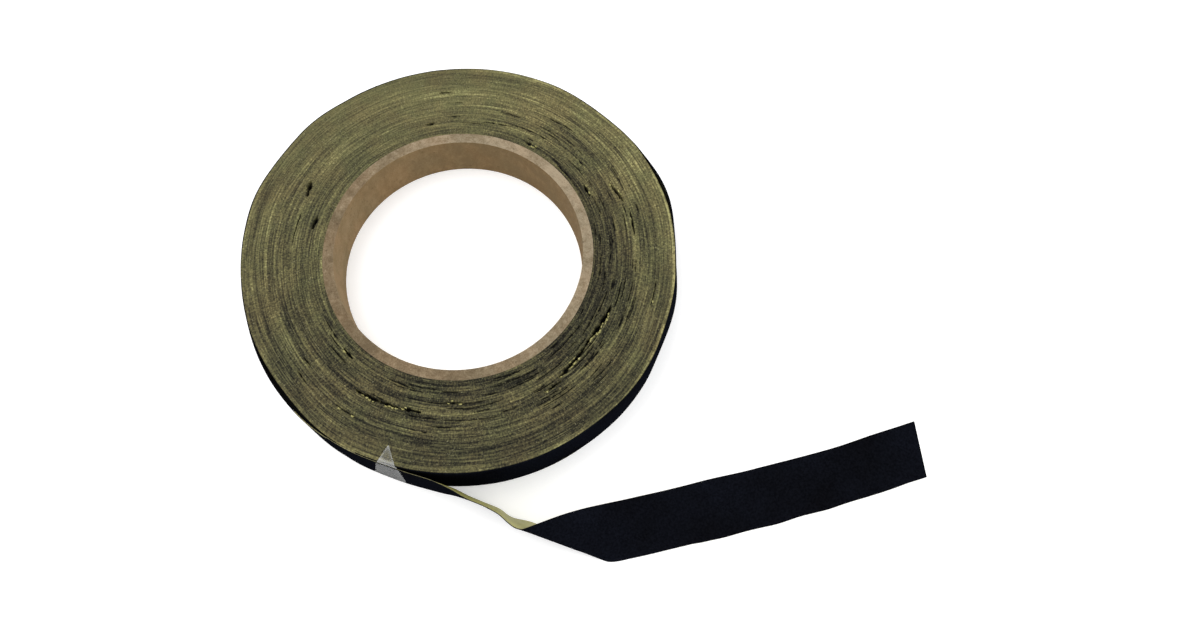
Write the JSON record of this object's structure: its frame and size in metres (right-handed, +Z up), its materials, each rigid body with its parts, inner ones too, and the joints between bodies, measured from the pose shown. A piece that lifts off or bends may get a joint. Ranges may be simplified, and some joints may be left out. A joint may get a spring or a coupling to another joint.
{
  "type": "grip tape roll",
  "caption": "Roll of cloth-backed adhesive grip tape on a paperboard core, its free end peeled off, creased over and laid flat.",
  "frame": {"origin": "centre of the core's bore at the end face that the roll rests on", "axes": "+Z up along the roll's axis; +X the way the free end is laid on the surface; the tape is wound counterclockwise seen from +Z"},
  "size_m": [0.1866, 0.1732, 0.0171],
  "materials": {
    "core_board": "matte brown kraft board",
    "tape_backing": "black coated cloth with a faint sheen",
    "tape_adhesive": "tacky, pale khaki",
    "tab_film": "clear film, slightly hazy"
  },
  "bodies": {
    "roll": {"core_ply_1": "core_board", "core_ply_2": "core_board", "core_ply_3": "core_board", "core_ply_4": "core_board", "core_ply_5": "core_board", "core_ply_6": "core_board", "core_ply_7": "core_board", "core_ply_8": "core_board", "wound_adhesive": "tape_adhesive", "wound_backing": "tape_backing"},
    "peel_lead": {"lead_adhesive": "tape_adhesive", "lead_backing": "tape_backing", "tab_band": "tab_film"},
    "film_tip": {"tab_tip": "tab_film"},
    "standing_run": {"tail_adhesive": "tape_adhesive", "tail_backing": "tape_backing"},
    "flat_run": {"end_adhesive": "tape_adhesive", "end_backing": "tape_backing"}
  },
  "joints": [
    {"name": "unwind", "type": "hinge", "parent": "roll", "child": "peel_lead", "pos_m": [0, 0, 0], "axis": [0, 0, -1], "continuous": true},
    {"name": "lift_tip", "type": "hinge", "parent": "peel_lead", "child": "film_tip", "pos_m": [-0.03552, -0.05755, 0.01705], "axis": [0.8085, -0.5885, 0], "range_deg": [0, 100]},
    {"name": "swing", "type": "hinge", "parent": "peel_lead", "child": "standing_run", "pos_m": [-0.02998, -0.06178, 0], "axis": [0, 0, -1], "range_deg": [0, 60]},
    {"name": "lift_end", "type": "hinge", "parent": "standing_run", "child": "flat_run", "pos_m": [0.0451, -0.09491, 0.0003], "axis": [-0.0698, -0.9976, 0], "range_deg": [0, 70]}
  ]
}
